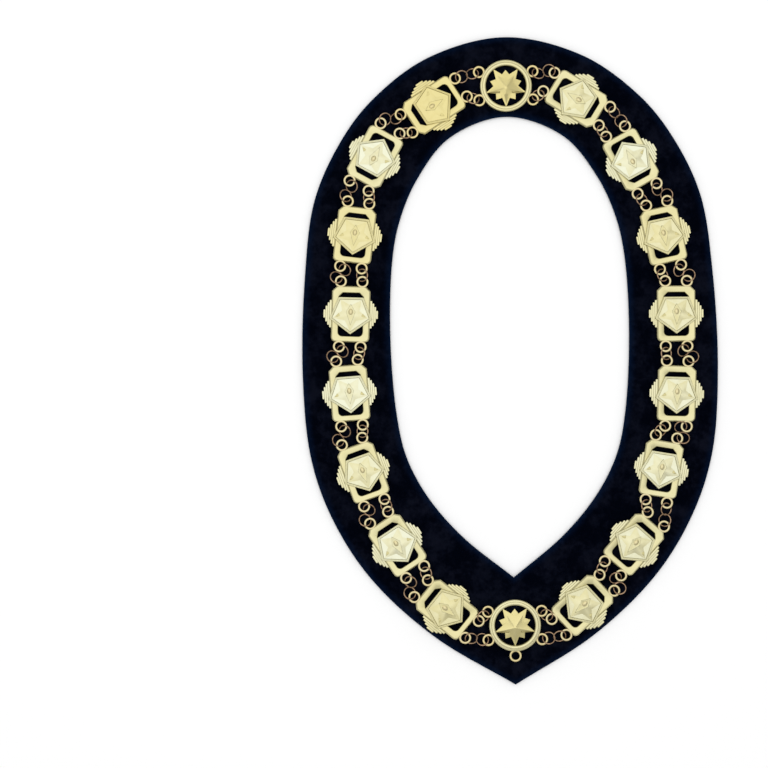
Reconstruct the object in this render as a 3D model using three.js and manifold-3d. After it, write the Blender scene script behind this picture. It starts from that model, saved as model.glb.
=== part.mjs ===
// Chain of office: gilt cast plaques and two medallions, joined by jump rings in two strands, lying on
// a velvet collar cut to a point. It lies face up: X runs across the wearer, +Y towards the neck at the
// back and +Z up from the surface. The origin is under the middle of the collar. Sizes are in millimetres.
import * as THREE from 'three';
import { mergeVertices } from 'three/addons/utils/BufferGeometryUtils.js';
import Module from 'manifold-3d';

const wasm = await Module();
wasm.setup();

// Velvet collar
const COLLAR_LENGTH = 457;
const COLLAR_WIDTH = 293;
const OPENING_LENGTH = 325;
const OPENING_WIDTH = 168.4;
const TIP_BAND = 75.7;
const CLOTH_THICKNESS = 2.4;
const OUTER_STEPS = 48;
const OPENING_STEPS = 36;

// Cast metal, common to plaques and medallions
const CLEARANCE = 0.3;
const PLATE_THICKNESS = 2.9;
const EYE_OUTER = 8.6;
const EYE_HOLE = 5.6;
const EYE_HEIGHT = 1;
const EYE_SIDES = 8;

// Jump rings
const RING_OUTER = 9.4;
const RING_WIRE = 0.9;
const RING_SIDES = 10;
const WIRE_SIDES = 5;
const WIRE_CLEARANCE = 0.3;
const RING_PULL = 1.15;
const SOLDER_BITE = 0.1;
const INNER_RINGS = 1;
const OUTER_RINGS = 2;

// Plaque
const FRAME_WIDTH = 27.2;
const FRAME_LENGTH = 39.8;
const CORNER_CUT = 3.6;
const SIDE_BAR = 5;
const BLUNT_BAR = 4.9;
const POINT_BAR = 4.4;
const INNER_CUT = 2.8;
const EYE_SPACING = 15.2;
const EYE_STANDOFF = 3;
const REED_WIDTH = 1.39;
const REED_LENGTH = 19.4;
const REED_COUNT = 4;
const REED_FALL = 1.25;
const REED_DROP = 0.4;
const SHIELD_TOP = 11.8;
const SHIELD_TOP_WIDTH = 17.4;
const SHIELD_WIDTH = 30;
const SHIELD_DROP = 3.4;
const SHIELD_TIP = 14.3;
const SHIELD_RISE = 1.4;
const FIELD_SINK = 0.7;
const STAR_RISE = 1.9;

// Medallion
const MEDALLION_OUTER = 36.5;
const MEDALLION_BAND = 4.2;
const MEDALLION_SIDES = 20;
const MEDALLION_EYE_REACH = 21.3;
const MEDALLION_EYE_SPACING = 19.86;
const BAND_CROWN = 0.5;
const STAR_BITE = 0.6;
const STAR_RIM = 1;
const STAR_CREST = 3.8;
const BACK_STAR_REACH = 11.5;
const BACK_STAR_RIM = 0.8;
const BACK_STAR_CREST = 2.6;

// Inner corners of a five-pointed star, as a share of the way out to the middle of two points
const SHIELD_STAR_WAIST = 0.47;
const FRONT_STAR_WAIST = 0.56;
const BACK_STAR_WAIST = 0.8;

// Half outlines from the tip up to the top: along is a share of the length, across of the half width
const COLLAR_STATIONS = [
  { along: 0, across: 0 },
  { along: 0.076, across: 0.387 },
  { along: 0.168, across: 0.69 },
  { along: 0.261, across: 0.87 },
  { along: 0.353, across: 0.966 },
  { along: 0.476, across: 1 },
  { along: 0.631, across: 0.983 },
  { along: 0.754, across: 0.928 },
  { along: 0.846, across: 0.793 },
  { along: 0.908, across: 0.639 },
  { along: 0.97, across: 0.373 },
];
const OPENING_STATIONS = [
  { along: 0, across: 0 },
  { along: 0.09, across: 0.423 },
  { along: 0.177, across: 0.707 },
  { along: 0.263, across: 0.879 },
  { along: 0.35, across: 0.954 },
  { along: 0.523, across: 1 },
  { along: 0.697, across: 0.971 },
  { along: 0.783, across: 0.9 },
  { along: 0.87, across: 0.749 },
  { along: 0.957, across: 0.473 },
];

// Route of the chain, as chosen points from the middle of the collar. Each side lists its plaques from the
// neck to the tip, with x outwards: lean is the turn of a plaque's upper end towards the centre in degrees,
// and blunt says which end carries the slot. The medallions lie on the middle line.
const CHAIN_ROUTE = {
  top: { x: 0, y: 193.5 },
  right: [
    { x: 49.6, y: 183.3, lean: 57.5, blunt: 'lower' },
    { x: 87.3, y: 139.8, lean: 28, blunt: 'lower' },
    { x: 109.1, y: 86.6, lean: 11.3, blunt: 'upper' },
    { x: 117.1, y: 31.3, lean: -0.5, blunt: 'upper' },
    { x: 116.5, y: -25.0, lean: -2.5, blunt: 'upper' },
    { x: 104.8, y: -77.8, lean: -10, blunt: 'upper' },
    { x: 84.9, y: -130.2, lean: -42.2, blunt: 'upper' },
    { x: 48.0, y: -172.5, lean: -48.2, blunt: 'upper' },
  ],
  left: [
    { x: 51.0, y: 180.5, lean: 57.5, blunt: 'lower' },
    { x: 93.2, y: 144.9, lean: 29.4, blunt: 'lower' },
    { x: 108.1, y: 90.4, lean: 7.7, blunt: 'upper' },
    { x: 111.9, y: 34.7, lean: 2.6, blunt: 'upper' },
    { x: 113.7, y: -20.8, lean: -3.5, blunt: 'upper' },
    { x: 105.0, y: -76.5, lean: -19, blunt: 'upper' },
    { x: 82.0, y: -128.1, lean: -32.6, blunt: 'upper' },
    { x: 48.0, y: -173.8, lean: -50.3, blunt: 'upper' },
  ],
  bottom: { x: 0, y: -186.2 },
};

// Sizes that follow from the ones above
const METAL_SEAT = CLOTH_THICKNESS + CLEARANCE;
const RING_MEAN = (RING_OUTER - RING_WIRE) / 2;
const EYE_MEAN = (EYE_OUTER + EYE_HOLE) / 4;
const RING_REACH = RING_MEAN + RING_PULL;
const WIRE_FLAT = (RING_WIRE / 2) * Math.cos(Math.PI / WIRE_SIDES);
const RING_PITCH = 2 * (RING_MEAN - WIRE_FLAT) + SOLDER_BITE;
const RING_TILT = linkTilt();
const EYE_LIFT = RING_MEAN * Math.sin(RING_TILT) + RING_WIRE / 2;

const FINISH = {
  velvet: new THREE.MeshStandardMaterial({ color: 0x060b1e, roughness: 0.95, metalness: 0 }),
  gilt: new THREE.MeshStandardMaterial({ color: 0xe2d08c, roughness: 0.3, metalness: 1 }),
  link: new THREE.MeshStandardMaterial({ color: 0xb98d68, roughness: 0.35, metalness: 1 }),
};

// The least tilt at which a taut ring's wire passes over and under the wire of the eye that it links
function linkTilt() {
  const cross = (RING_REACH ** 2 + RING_MEAN ** 2 - EYE_MEAN ** 2) / (2 * RING_REACH);
  const sideways = Math.sqrt(RING_MEAN ** 2 - cross ** 2);
  const height = (EYE_HEIGHT + RING_WIRE) / 2 + WIRE_CLEARANCE;
  return Math.asin(height / sideways);
}

function toSolid(geometry) {
  const bare = geometry.index ? geometry.clone() : geometry;
  bare.deleteAttribute('normal');
  bare.deleteAttribute('uv');
  const merged = mergeVertices(bare, 1e-4);
  const vertProperties = new Float32Array(merged.getAttribute('position').array);
  const triVerts = new Uint32Array(merged.getIndex().array);
  return new wasm.Manifold(new wasm.Mesh({ numProp: 3, vertProperties, triVerts }));
}

function toGeometry(solid) {
  const { vertProperties, triVerts } = solid.getMesh();
  const geometry = new THREE.BufferGeometry();
  geometry.setAttribute('position', new THREE.BufferAttribute(vertProperties, 3));
  geometry.setIndex(new THREE.BufferAttribute(triVerts, 1));
  return geometry;
}

function join(geometries) {
  const [first, ...others] = geometries.map(toSolid);
  return others.reduce((whole, piece) => whole.add(piece), first);
}

// A closed solid over a counter-clockwise outline, drawn in or out by each level's share of it. A last
// share of 0 closes it in a peak over the origin.
function tower(outline, levels) {
  const sides = outline.length;
  const positions = [];
  for (const { z, share } of levels) {
    const corners = share === 0 ? [new THREE.Vector2()] : outline;
    for (const corner of corners) positions.push(corner.x * share, corner.y * share, z);
  }
  const caps = THREE.ShapeUtils.triangulateShape(outline, []);
  const faces = caps.map(([a, b, c]) => [a, c, b]);
  for (let level = 1; level < levels.length; level += 1) {
    const below = (level - 1) * sides;
    const above = level * sides;
    for (let side = 0; side < sides; side += 1) {
      const next = (side + 1) % sides;
      if (levels[level].share === 0) {
        faces.push([below + side, below + next, above]);
      } else {
        faces.push([below + side, below + next, above + next]);
        faces.push([below + side, above + next, above + side]);
      }
    }
  }
  const lid = (levels.length - 1) * sides;
  if (levels.at(-1).share !== 0) faces.push(...caps.map((face) => face.map((corner) => corner + lid)));
  const geometry = new THREE.BufferGeometry();
  geometry.setAttribute('position', new THREE.Float32BufferAttribute(positions, 3));
  geometry.setIndex(faces.flat());
  return geometry;
}

// A closed section of radius and height pairs, turned about the Z axis
function turned(section, sides) {
  const profile = [...section, section[0]].map(([radius, height]) => new THREE.Vector2(radius, height));
  return new THREE.LatheGeometry(profile, sides).rotateX(Math.PI / 2);
}

function regularPolygon(corners, radius, start) {
  return Array.from({ length: corners }, (_, index) => {
    const angle = start + (index * 2 * Math.PI) / corners;
    return new THREE.Vector2(radius * Math.cos(angle), radius * Math.sin(angle));
  });
}

// A star with its points at the given corners and an inner corner between each two
function starOutline(corners, waist) {
  return corners.flatMap((corner, index) => {
    const next = corners[(index + 1) % corners.length];
    const inner = corner.clone().add(next).multiplyScalar(waist / 2);
    return [corner, inner];
  });
}

// One half outline and its mirror image, as one smooth loop from the tip round to the tip
function mirroredLoop(stations, tipY, length, width, steps) {
  const right = stations.map(({ along, across }) => {
    return new THREE.Vector3((across * width) / 2, tipY + along * length, 0);
  });
  const top = new THREE.Vector3(0, tipY + length, 0);
  const left = [...right].reverse().map((point) => new THREE.Vector3(-point.x, point.y, 0));
  const loop = new THREE.CatmullRomCurve3([...right, top, ...left], false, 'centripetal');
  return loop.getSpacedPoints(steps).slice(0, steps).map((point) => new THREE.Vector2(point.x, point.y));
}

function velvetCollar() {
  const tipY = -COLLAR_LENGTH / 2;
  const outer = mirroredLoop(COLLAR_STATIONS, tipY, COLLAR_LENGTH, COLLAR_WIDTH, OUTER_STEPS);
  const openingTip = tipY + TIP_BAND;
  const opening = mirroredLoop(OPENING_STATIONS, openingTip, OPENING_LENGTH, OPENING_WIDTH, OPENING_STEPS);
  const shape = new THREE.Shape(outer);
  shape.holes.push(new THREE.Path(opening));
  return new THREE.ExtrudeGeometry(shape, { depth: CLOTH_THICKNESS, bevelEnabled: false });
}

// An eye cast on the edge of a plaque or medallion, for a jump ring or for the jewel
function eye(x, y) {
  const section = [
    [EYE_HOLE / 2, -EYE_HEIGHT / 2],
    [EYE_OUTER / 2, -EYE_HEIGHT / 2],
    [EYE_OUTER / 2, EYE_HEIGHT / 2],
    [EYE_HOLE / 2, EYE_HEIGHT / 2],
  ];
  return turned(section, EYE_SIDES).translate(x, y, EYE_LIFT);
}

// A rectangle with cut corners, counter-clockwise, between two heights on the plaque
function cutRectangle(halfWidth, low, high, cut) {
  return [
    new THREE.Vector2(halfWidth - cut, low),
    new THREE.Vector2(halfWidth, low + cut),
    new THREE.Vector2(halfWidth, high - cut),
    new THREE.Vector2(halfWidth - cut, high),
    new THREE.Vector2(cut - halfWidth, high),
    new THREE.Vector2(-halfWidth, high - cut),
    new THREE.Vector2(-halfWidth, low + cut),
    new THREE.Vector2(cut - halfWidth, low),
  ];
}

function plaqueFrame() {
  const half = FRAME_LENGTH / 2;
  const shape = new THREE.Shape(cutRectangle(FRAME_WIDTH / 2, -half, half, CORNER_CUT));
  const window = cutRectangle(FRAME_WIDTH / 2 - SIDE_BAR, POINT_BAR - half, half - BLUNT_BAR, INNER_CUT);
  shape.holes.push(new THREE.Path(window));
  return new THREE.ExtrudeGeometry(shape, { depth: PLATE_THICKNESS, bevelEnabled: false });
}

// The wing of upright reeds on one side of the frame, each reed shorter than the one inside it
function plaqueWing(side) {
  const root = (FRAME_WIDTH - SIDE_BAR) / 2;
  const lower = [new THREE.Vector2(root, -REED_LENGTH / 2)];
  for (let reed = 0; reed < REED_COUNT; reed += 1) {
    const end = (-REED_LENGTH / 2) * (1 - (reed / REED_COUNT) ** REED_FALL);
    const inside = FRAME_WIDTH / 2 + reed * REED_WIDTH;
    if (reed > 0) lower.push(new THREE.Vector2(inside, end));
    lower.push(new THREE.Vector2(inside + REED_WIDTH, end));
  }
  const upper = lower.map((point) => new THREE.Vector2(point.x, -point.y)).reverse();
  const outline = [...lower, ...upper];
  const wing = new THREE.ExtrudeGeometry(new THREE.Shape(outline), {
    depth: PLATE_THICKNESS - REED_DROP,
    bevelEnabled: false,
  });
  return side > 0 ? wing : wing.rotateZ(Math.PI);
}

function shieldCorners() {
  return [
    new THREE.Vector2(0, -SHIELD_TIP),
    new THREE.Vector2(SHIELD_WIDTH / 2, -SHIELD_DROP),
    new THREE.Vector2(SHIELD_TOP_WIDTH / 2, SHIELD_TOP),
    new THREE.Vector2(-SHIELD_TOP_WIDTH / 2, SHIELD_TOP),
    new THREE.Vector2(-SHIELD_WIDTH / 2, -SHIELD_DROP),
  ];
}

// A pierced frame with a raised five-sided shield across it and a star in the shield's sunk field. +Y is
// the blunt end, and the shield's point is at the other.
function plaque() {
  const corners = shieldCorners();
  const crest = PLATE_THICKNESS + SHIELD_RISE;
  const field = crest - FIELD_SINK;
  const shield = tower(corners, [
    { z: 0, share: 1 },
    { z: PLATE_THICKNESS + SHIELD_RISE / 2, share: 1 },
    { z: crest, share: 0.95 },
  ]);
  const sunkField = tower(corners, [
    { z: field, share: 0.8 },
    { z: crest + FIELD_SINK, share: 0.92 },
  ]);
  const star = tower(starOutline(corners, SHIELD_STAR_WAIST), [
    { z: field - FIELD_SINK, share: 0.8 },
    { z: field, share: 0.8 },
    { z: field + STAR_RISE, share: 0 },
  ]);
  const eyes = [-1, 1].flatMap((end) => [-1, 1].map((side) => {
    return eye((side * EYE_SPACING) / 2, end * (FRAME_LENGTH / 2 + EYE_STANDOFF));
  }));
  const body = join([plaqueFrame(), plaqueWing(1), plaqueWing(-1), shield]).subtract(toSolid(sunkField));
  return toGeometry(body.add(join([star, ...eyes])));
}

// How far a medallion's four chain eyes lie to the side of its centre, and above or below it
function medallionEyes() {
  const y = MEDALLION_EYE_SPACING / 2;
  return { x: Math.sqrt(MEDALLION_EYE_REACH ** 2 - y ** 2), y };
}

// A crowned band round two crossed stars, one of them behind. The front star's lowest point is at -Y.
function medallion(hasJewelLoop) {
  const outer = MEDALLION_OUTER / 2;
  const inner = outer - MEDALLION_BAND;
  const band = turned([
    [inner, 0],
    [outer, 0],
    [outer, PLATE_THICKNESS],
    [outer - MEDALLION_BAND / 2, PLATE_THICKNESS + BAND_CROWN],
    [inner, PLATE_THICKNESS],
  ], MEDALLION_SIDES);
  const points = regularPolygon(5, inner + STAR_BITE, -Math.PI / 2);
  const star = tower(starOutline(points, FRONT_STAR_WAIST), [
    { z: 0, share: 1 },
    { z: STAR_RIM, share: 1 },
    { z: STAR_CREST, share: 0 },
  ]);
  const backPoints = regularPolygon(5, BACK_STAR_REACH, Math.PI / 2);
  const backStar = tower(starOutline(backPoints, BACK_STAR_WAIST), [
    { z: 0, share: 1 },
    { z: BACK_STAR_RIM, share: 1 },
    { z: BACK_STAR_CREST, share: 0 },
  ]);
  const { x, y } = medallionEyes();
  const eyes = [eye(x, y), eye(-x, y), eye(x, -y), eye(-x, -y)];
  if (hasJewelLoop) eyes.push(eye(0, -MEDALLION_EYE_REACH));
  return toGeometry(join([band, star, backStar, ...eyes]));
}

// The chain eyes of each piece down one side, with x outwards: those that the chain reaches first, and
// those that it leaves by, each as an outer and an inner one
function chainStations(plaques) {
  const { x, y } = medallionEyes();
  const { top, bottom } = CHAIN_ROUTE;
  const first = {
    leave: { outer: new THREE.Vector2(x, top.y + y), inner: new THREE.Vector2(x, top.y - y) },
  };
  const last = {
    reach: { outer: new THREE.Vector2(x, bottom.y - y), inner: new THREE.Vector2(x, bottom.y + y) },
  };
  const between = plaques.map(({ x: plaqueX, y: plaqueY, lean }) => {
    const centre = new THREE.Vector2(plaqueX, plaqueY);
    const eyeAt = (side, end) => {
      const local = new THREE.Vector2((side * EYE_SPACING) / 2, end * (FRAME_LENGTH / 2 + EYE_STANDOFF));
      return local.rotateAround(new THREE.Vector2(), THREE.MathUtils.degToRad(lean)).add(centre);
    };
    return {
      reach: { outer: eyeAt(1, 1), inner: eyeAt(-1, 1) },
      leave: { outer: eyeAt(1, -1), inner: eyeAt(-1, -1) },
    };
  });
  return [first, ...between, last];
}

function jumpRing(centre, direction, tilt) {
  return new THREE.TorusGeometry(RING_MEAN, RING_WIRE / 2, WIRE_SIDES, RING_SIDES)
    .rotateX(tilt)
    .rotateZ(direction.angle())
    .translate(centre.x, centre.y, METAL_SEAT + EYE_LIFT);
}

// The jump rings between two eyes on one side of the collar. They all point the way that the first one
// reaches from its eye, each tilts the other way from the last, and rings with room to spare swing out
// of line.
function strand(from, to, fewest, side) {
  const span = to.clone().sub(from);
  const distance = span.length();
  const count = Math.max(fewest, Math.ceil((distance - 2 * RING_REACH) / RING_PITCH) + 1);
  const run = (count - 1) * RING_PITCH;
  const slack = (distance ** 2 + run ** 2 - 4 * RING_MEAN ** 2) / (2 * distance * run);
  const swing = count > 1 ? Math.acos(Math.min(1, slack)) : 0;
  const line = span.clone().normalize().rotateAround(new THREE.Vector2(), swing * side);
  const first = from.clone().add(to).multiplyScalar(0.5).addScaledVector(line, -run / 2);
  const direction = first.clone().sub(from);
  const rings = Array.from({ length: count }, (_, index) => {
    const centre = first.clone().addScaledVector(line, index * RING_PITCH);
    return jumpRing(centre, direction, index % 2 === 0 ? -side * RING_TILT : side * RING_TILT);
  });
  return toGeometry(join(rings));
}

function named(name, geometry, material) {
  const mesh = new THREE.Mesh(geometry, material);
  mesh.name = name;
  return mesh;
}

function placedMedallion(name, hasJewelLoop, place) {
  const mesh = named(name, medallion(hasJewelLoop), FINISH.gilt);
  mesh.position.set(place.x, place.y, METAL_SEAT);
  return mesh;
}

function placedPlaques(side, sideName) {
  const geometry = plaque();
  return CHAIN_ROUTE[sideName].map(({ x, y, lean, blunt }, index) => {
    const mesh = named(`plaque_${sideName}_${index + 1}`, geometry, FINISH.gilt);
    const turn = blunt === 'lower' ? Math.PI : 0;
    mesh.position.set(side * x, y, METAL_SEAT);
    mesh.rotation.z = side * THREE.MathUtils.degToRad(lean) + turn;
    return mesh;
  });
}

function placedStrands(side, sideName) {
  const stations = chainStations(CHAIN_ROUTE[sideName]);
  const mirror = (point) => new THREE.Vector2(side * point.x, point.y);
  return stations.slice(1).flatMap((station, index) => {
    const { leave } = stations[index];
    const { reach } = station;
    const outer = strand(mirror(leave.outer), mirror(reach.outer), OUTER_RINGS, side);
    const inner = strand(mirror(leave.inner), mirror(reach.inner), INNER_RINGS, side);
    return [
      named(`links_outer_${sideName}_${index + 1}`, outer, FINISH.link),
      named(`links_inner_${sideName}_${index + 1}`, inner, FINISH.link),
    ];
  });
}

const chainOfOffice = new THREE.Group();
chainOfOffice.add(named('velvet_backing', velvetCollar(), FINISH.velvet));
chainOfOffice.add(placedMedallion('medallion_top', false, CHAIN_ROUTE.top));
chainOfOffice.add(placedMedallion('medallion_bottom', true, CHAIN_ROUTE.bottom));
for (const [sideName, side] of [['left', -1], ['right', 1]]) {
  chainOfOffice.add(...placedPlaques(side, sideName));
  chainOfOffice.add(...placedStrands(side, sideName));
}

export default chainOfOffice;
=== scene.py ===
"""Chain of office on a velvet collar, dressed for rendering.

Sizes are in millimetres until they reach a mesh, which is in metres. X runs across the wearer,
+Y towards the neck at the back and +Z up from the surface that the collar lies on.
"""

import logging
import math
from abc import ABC, abstractmethod
from dataclasses import dataclass, replace
from enum import Enum
from typing import Any, ClassVar, NamedTuple, Sequence

import bmesh
import bpy
import numpy as np
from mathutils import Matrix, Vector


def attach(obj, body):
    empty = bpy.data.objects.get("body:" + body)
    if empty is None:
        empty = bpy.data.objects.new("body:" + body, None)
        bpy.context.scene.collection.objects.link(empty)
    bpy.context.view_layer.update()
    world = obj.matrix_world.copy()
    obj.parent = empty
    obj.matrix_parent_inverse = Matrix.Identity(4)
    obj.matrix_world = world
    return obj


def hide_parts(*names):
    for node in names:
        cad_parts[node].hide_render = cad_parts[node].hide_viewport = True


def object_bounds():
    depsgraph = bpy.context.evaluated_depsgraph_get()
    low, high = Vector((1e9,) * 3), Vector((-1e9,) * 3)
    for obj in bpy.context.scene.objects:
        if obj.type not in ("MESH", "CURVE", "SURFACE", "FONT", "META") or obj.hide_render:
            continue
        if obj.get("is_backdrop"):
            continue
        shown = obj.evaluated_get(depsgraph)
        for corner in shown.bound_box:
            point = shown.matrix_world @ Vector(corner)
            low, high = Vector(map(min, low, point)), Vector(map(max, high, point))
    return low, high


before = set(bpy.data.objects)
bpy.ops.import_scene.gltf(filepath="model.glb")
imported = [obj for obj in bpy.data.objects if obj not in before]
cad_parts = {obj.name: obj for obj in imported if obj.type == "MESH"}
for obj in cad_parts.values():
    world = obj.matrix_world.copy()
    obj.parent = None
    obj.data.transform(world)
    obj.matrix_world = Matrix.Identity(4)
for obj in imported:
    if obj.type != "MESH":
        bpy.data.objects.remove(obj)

LOG = logging.getLogger("chain_of_office")
Array = np.ndarray
Colour = tuple[float, float, float]
Span = tuple[float, float]
Rows = tuple[tuple[float, ...], ...]
MM = 0.001


class Slot(Enum):
    """The record's material slots."""

    VELVET = "velvet"
    GILT = "gilt"
    LINK = "link"


class Side(Enum):
    """A side of the collar, with the sign of its X."""

    LEFT = -1
    RIGHT = 1

    @property
    def word(self) -> str:
        """The side's name as the nodes spell it."""
        return self.name.lower()


class Corner(Enum):
    """How the corners of a rectangle are finished."""

    CUT = "cut"
    ROUND = "round"


class Step(NamedTuple):
    """One level of a cast form, with how far its outline steps in and how bright it is drawn: a low
    tone paints shade, and a high one paints a highlight with worn gilding.
    """

    height: float
    inset: float
    tone: float = 0.6


# Surfaces: shells of points and faces, in millimetres.


@dataclass
class Shell:
    """A closed surface in millimetres.

    Attributes:
        points: Rows of x, y and z.
        quads: Four-cornered faces, as rows of indices.
        triangles: Three-cornered faces, as rows of indices.
        tones: Each point's brightness, from 0 in a hollow to 1 on a crest: painted shade when low, a
            painted highlight with worn gilding when high, and on the velvet its painted edge sheen.
        pale: Each point's paleness, from -1 for copper past 0 for yellow to 1 for a whitish painted
            highlight.
    """

    points: Array
    quads: Array
    triangles: Array
    tones: Array
    pale: Array

    def moved(self, offset: Sequence[float], turn: float = 0.0, tilt: float = 0.0) -> "Shell":
        """A copy tilted about X, then turned about Z, then shifted.

        Args:
            offset: Shift along x, y and z.
            turn: Angle about Z in radians.
            tilt: Angle about X in radians.

        Returns:
            The moved shell.
        """
        c, s = math.cos(tilt), math.sin(tilt)
        lean = np.array([[1, 0, 0], [0, c, -s], [0, s, c]])
        c, s = math.cos(turn), math.sin(turn)
        spin = np.array([[c, -s, 0], [s, c, 0], [0, 0, 1]])
        return replace(self, points=self.points @ (spin @ lean).T + offset)

    def paler(self, amount: float) -> "Shell":
        """A copy with one paleness all over."""
        return replace(self, pale=np.full(len(self.points), amount))

    @staticmethod
    def joined(shells: Sequence["Shell"]) -> "Shell":
        """All the shells as one, each still closed in itself.

        Args:
            shells: The shells.

        Returns:
            The joined shell.
        """
        starts = np.cumsum([0] + [len(shell.points) for shell in shells])
        shifts = {"points": 0, "quads": 1, "triangles": 1, "tones": 0, "pale": 0}
        return Shell(**{
            name: np.concatenate([
                getattr(shell, name) + start * shift for shell, start in zip(shells, starts)
            ]) for name, shift in shifts.items()
        })

    @staticmethod
    def through(rings: Array, tones: Array, closed: bool) -> "Shell":
        """The surface through a stack of closed rings, joined point to point.

        Args:
            rings: Points as levels by points by 3.
            tones: One brightness for each level.
            closed: Whether the last ring joins the first. Otherwise a fan closes each end.

        Returns:
            The closed shell.
        """
        levels, count = rings.shape[:2]
        index = np.arange(levels * count).reshape(levels, count)
        lower = index if closed else index[:-1]
        upper = np.roll(index, -1, axis=0) if closed else index[1:]
        quads = np.stack(
            [lower, np.roll(lower, -1, axis=1), np.roll(upper, -1, axis=1), upper], axis=-1
        ).reshape(-1, 4)
        points, shades, fans = rings.reshape(-1, 3), np.repeat(tones, count), np.zeros((0, 3), int)
        if not closed:
            first, last, base = index[0], index[-1], index.size
            fans = np.concatenate([
                np.stack([np.roll(first, -1), first, np.full(count, base)], axis=-1),
                np.stack([last, np.roll(last, -1), np.full(count, base + 1)], axis=-1),
            ])
            points = np.concatenate([points, rings[[0, -1]].mean(axis=1)])
            shades = np.concatenate([shades, tones[[0, -1]]])
        return Shell(points, quads, fans, shades, np.zeros(len(points)))


def full_turn(count: int) -> Array:
    """Angles at equal steps once round."""
    return np.arange(count) * 2 * math.pi / count


def on_circle(angle: Array) -> Array:
    """The points of the unit circle at the angles, as x and y."""
    return np.stack([np.cos(angle), np.sin(angle)], axis=-1)


def rotation(turn: float) -> Array:
    """The matrix that turns x and y by an angle in radians."""
    return np.array([[math.cos(turn), -math.sin(turn)], [math.sin(turn), math.cos(turn)]])


def steps_at(level: float, rows: Rows) -> list[Step]:
    """Steps from rows of height, inset and tone, with the heights counted up from a level."""
    return [Step(level + up, into, tone) for up, into, tone in rows]


def inset(outline: Array | Rows, distance: float) -> Array:
    """An outline whose sides all step in by one distance.

    Each corner moves by the sum of its two inward unit normals over one plus their dot product.

    Args:
        outline: Corners counter-clockwise, as rows of x and y.
        distance: How far each side steps in.

    Returns:
        The moved corners.
    """
    outline = np.asarray(outline, float)
    edge = np.roll(outline, -1, axis=0) - outline
    edge = edge / np.linalg.norm(edge, axis=1, keepdims=True)
    after = np.stack([-edge[:, 1], edge[:, 0]], axis=1)
    before = np.roll(after, 1, axis=0)
    mitre = (after + before) / (1 + (after * before).sum(axis=1, keepdims=True))
    return outline + mitre * distance


def level_rings(outline: Array | Rows, steps: Sequence[Step]) -> Array:
    """The outline at each step's inset and height, as levels by points by 3."""
    levels = [(inset(outline, step.inset), step.height) for step in steps]
    return np.stack([np.column_stack([flat, np.full(len(flat), height)]) for flat, height in levels])


def cast(outline: Array | Rows, steps: Sequence[Step]) -> Shell:
    """A closed form whose outline steps in as it rises."""
    tones = np.array([step.tone for step in steps])
    return Shell.through(level_rings(outline, steps), tones, closed=False)


def cast_pair(outline: Rows, steps: Sequence[Step]) -> list[Shell]:
    """A closed form and its mirror image in the y axis."""
    drawn = np.array(outline, float)
    return [cast(drawn[::side] * [side, 1], steps) for side in (1, -1)]


def cast_frame(outer: Array, inner: Array, rise: Sequence[Step], fall: Sequence[Step]) -> Shell:
    """A closed frame between two outlines with the same number of points.

    Args:
        outer: Outer outline, counter-clockwise.
        inner: Outline of the window, counter-clockwise.
        rise: Steps up the outer wall, stepping in.
        fall: Steps down the window's wall, stepping out.

    Returns:
        The closed shell.
    """
    outwards = [Step(step.height, -step.inset, step.tone) for step in fall]
    rings = np.concatenate([level_rings(outer, rise), level_rings(inner, outwards)])
    return Shell.through(rings, np.array([step.tone for step in [*rise, *fall]]), closed=True)


def turned(section: Array, tones: Array, sides: int) -> Shell:
    """A closed section turned once about Z.

    Args:
        section: Radius and height of each point, in order.
        tones: Brightness of each point.
        sides: Number of steps round Z.

    Returns:
        The closed shell.
    """
    angle = full_turn(sides)
    radius, height = section[:, 0, None], section[:, 1, None]
    rings = np.stack([radius * np.cos(angle), radius * np.sin(angle), height + 0 * angle], axis=-1)
    return Shell.through(rings, tones, closed=True)


def shrunk(outline: Array | Rows, shares: Array, heights: Array, middle: Span = (0, 0)) -> Array:
    """The outline shrunk towards a middle, at each level.

    Args:
        outline: Corners, counter-clockwise.
        shares: Its share of its size at each level.
        heights: Height of each level.
        middle: Where it shrinks to.

    Returns:
        The rings, as levels by points by 3.
    """
    flat = (np.asarray(outline, float) - middle) * shares[:, None, None] + middle
    upright = np.broadcast_to(heights[:, None, None], (*flat.shape[:2], 1))
    return np.concatenate([flat, upright], axis=-1)


def peaked(
    outline: Array | Rows, base: float, rim: float, crest: float, hollow: float = 1.0,
    peak: float = 0.0,
) -> Shell:
    """A form with upright sides that rises to a peak.

    The outline at a share s of its size lies at rim + (crest - rim) * (1 - s) ** hollow.

    Args:
        outline: Corners round the origin, counter-clockwise.
        base: Height of the underside.
        rim: Height of the top of the upright sides.
        crest: Height of the peak.
        hollow: Power of the rise, over 1 where the slopes sag.
        peak: The y of the peak, which is at x 0.

    Returns:
        The closed shell.
    """
    levels = 9
    share = np.concatenate([[1.0, 1.0], np.linspace(0.97, 0.02, levels)])
    height = np.concatenate([[base], rim + (crest - rim) * (1 - share[1:]) ** hollow])
    # Painted light: painted shade low on the upright sides, rising to a painted highlight at the
    # peak.
    tones = np.concatenate([[0.2, 0.45], np.linspace(0.6, 1.0, levels)])
    return Shell.through(shrunk(outline, share, height, (0, peak)), tones, closed=False)


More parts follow.
